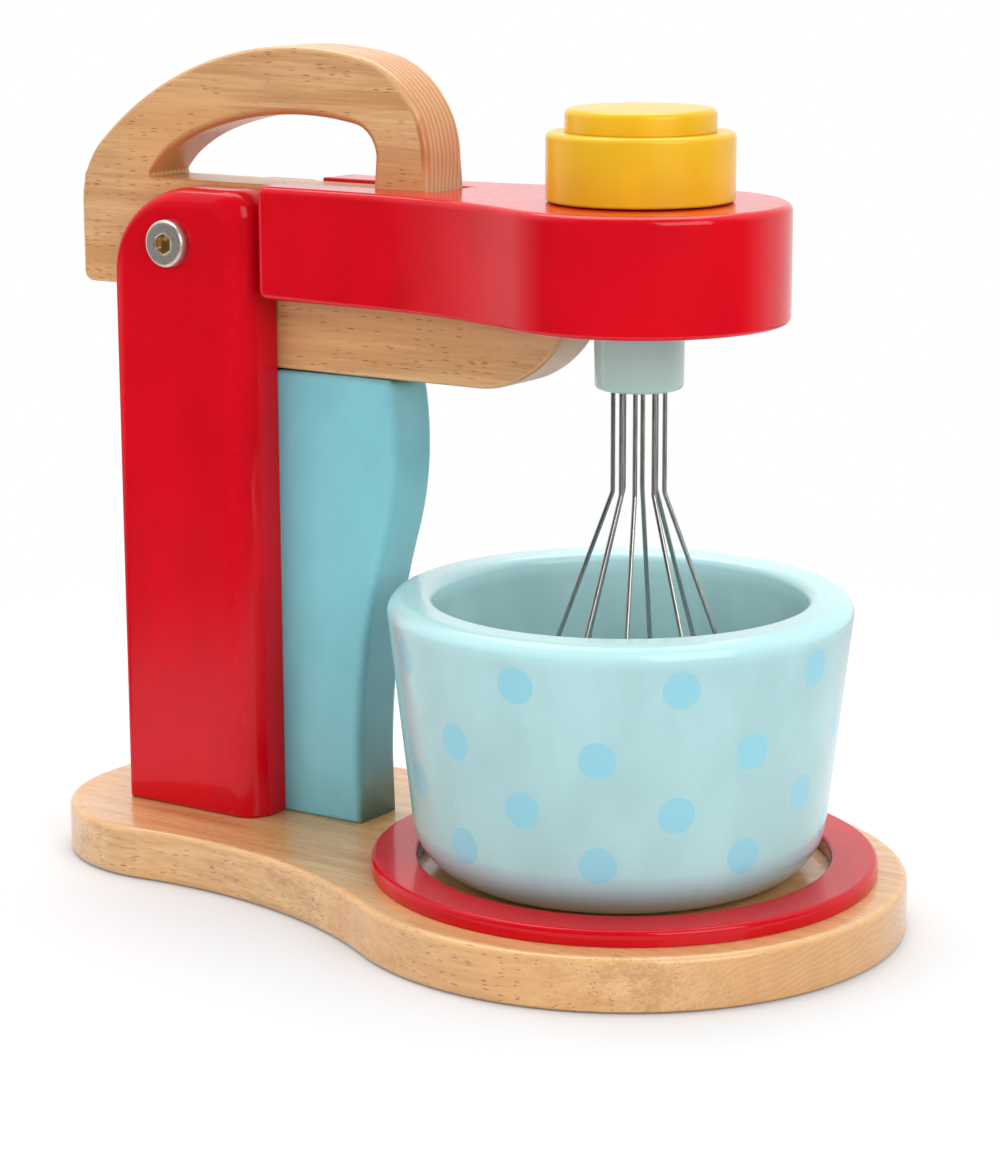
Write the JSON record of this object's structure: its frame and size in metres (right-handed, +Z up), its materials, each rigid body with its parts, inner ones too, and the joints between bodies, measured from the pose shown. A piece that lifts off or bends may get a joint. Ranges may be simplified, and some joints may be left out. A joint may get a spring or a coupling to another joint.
{
  "type": "toy stand mixer",
  "caption": "Wooden toy stand mixer with a tilting head on a column, a knob that turns a wire whisk, and a loose bowl on a ringed base.",
  "frame": {"origin": "on the floor, under the middle of the base board's overall box", "axes": "+X from the column to the whisk along the arm, +Y across the toy, +Z up; the pivot bolt's head is on the -Y side"},
  "size_m": [0.259, 0.156, 0.2353],
  "materials": {
    "base_wood": "clear satin lacquer on rubberwood",
    "arm_wood": "clear satin lacquer on rubberwood",
    "red_lacquer": "gloss red lacquer on wood",
    "blue_lacquer": "satin pale blue lacquer on wood",
    "bowl_lacquer": "satin pale mint lacquer on turned wood, with pale blue polka dots",
    "hub_lacquer": "satin grey-green lacquer on turned wood",
    "yellow_lacquer": "satin yellow lacquer on turned wood",
    "dowel_wood": "bare beech",
    "bolt_steel": "nickel-plated",
    "screw_steel": "zinc-plated",
    "whisk_steel": "bright drawn stainless wire",
    "nylon": "natural nylon"
  },
  "bodies": {
    "stand": {"base_board": "base_wood", "tray_ring": "red_lacquer", "near_cheek": "red_lacquer", "far_cheek": "red_lacquer", "centre_post": "blue_lacquer", "cheek_dowels": "dowel_wood", "base_screws": "screw_steel", "pivot_bolt": "bolt_steel", "pivot_nut": "bolt_steel", "pivot_washers": "nylon"},
    "head": {"arm_board": "arm_wood", "head_block": "red_lacquer", "prong_dowels": "dowel_wood", "rail_dowel": "dowel_wood", "thrust_washers": "nylon"},
    "whisk": {"spindle": "dowel_wood", "knob": "yellow_lacquer", "knob_cap": "yellow_lacquer", "knob_screw": "screw_steel", "hub": "hub_lacquer", "whisk_loop_1": "whisk_steel", "whisk_loop_2": "whisk_steel", "whisk_loop_3": "whisk_steel", "whisk_loop_4": "whisk_steel"},
    "bowl": {"bowl": "bowl_lacquer"}
  },
  "joints": [
    {"name": "head_tilt", "type": "hinge", "parent": "stand", "child": "head", "pos_m": [-0.0845, 0, 0.1803], "axis": [0, -1, 0], "range_deg": [0, 60]},
    {"name": "whisk_spin", "type": "hinge", "parent": "head", "child": "whisk", "pos_m": [0.056, 0, 0.1977], "axis": [0, 0, 1], "continuous": true},
    {"name": "bowl_lift", "type": "slide", "parent": "stand", "child": "bowl", "axis": [0, 0, 1], "range_m": [0, 0.014]}
  ]
}
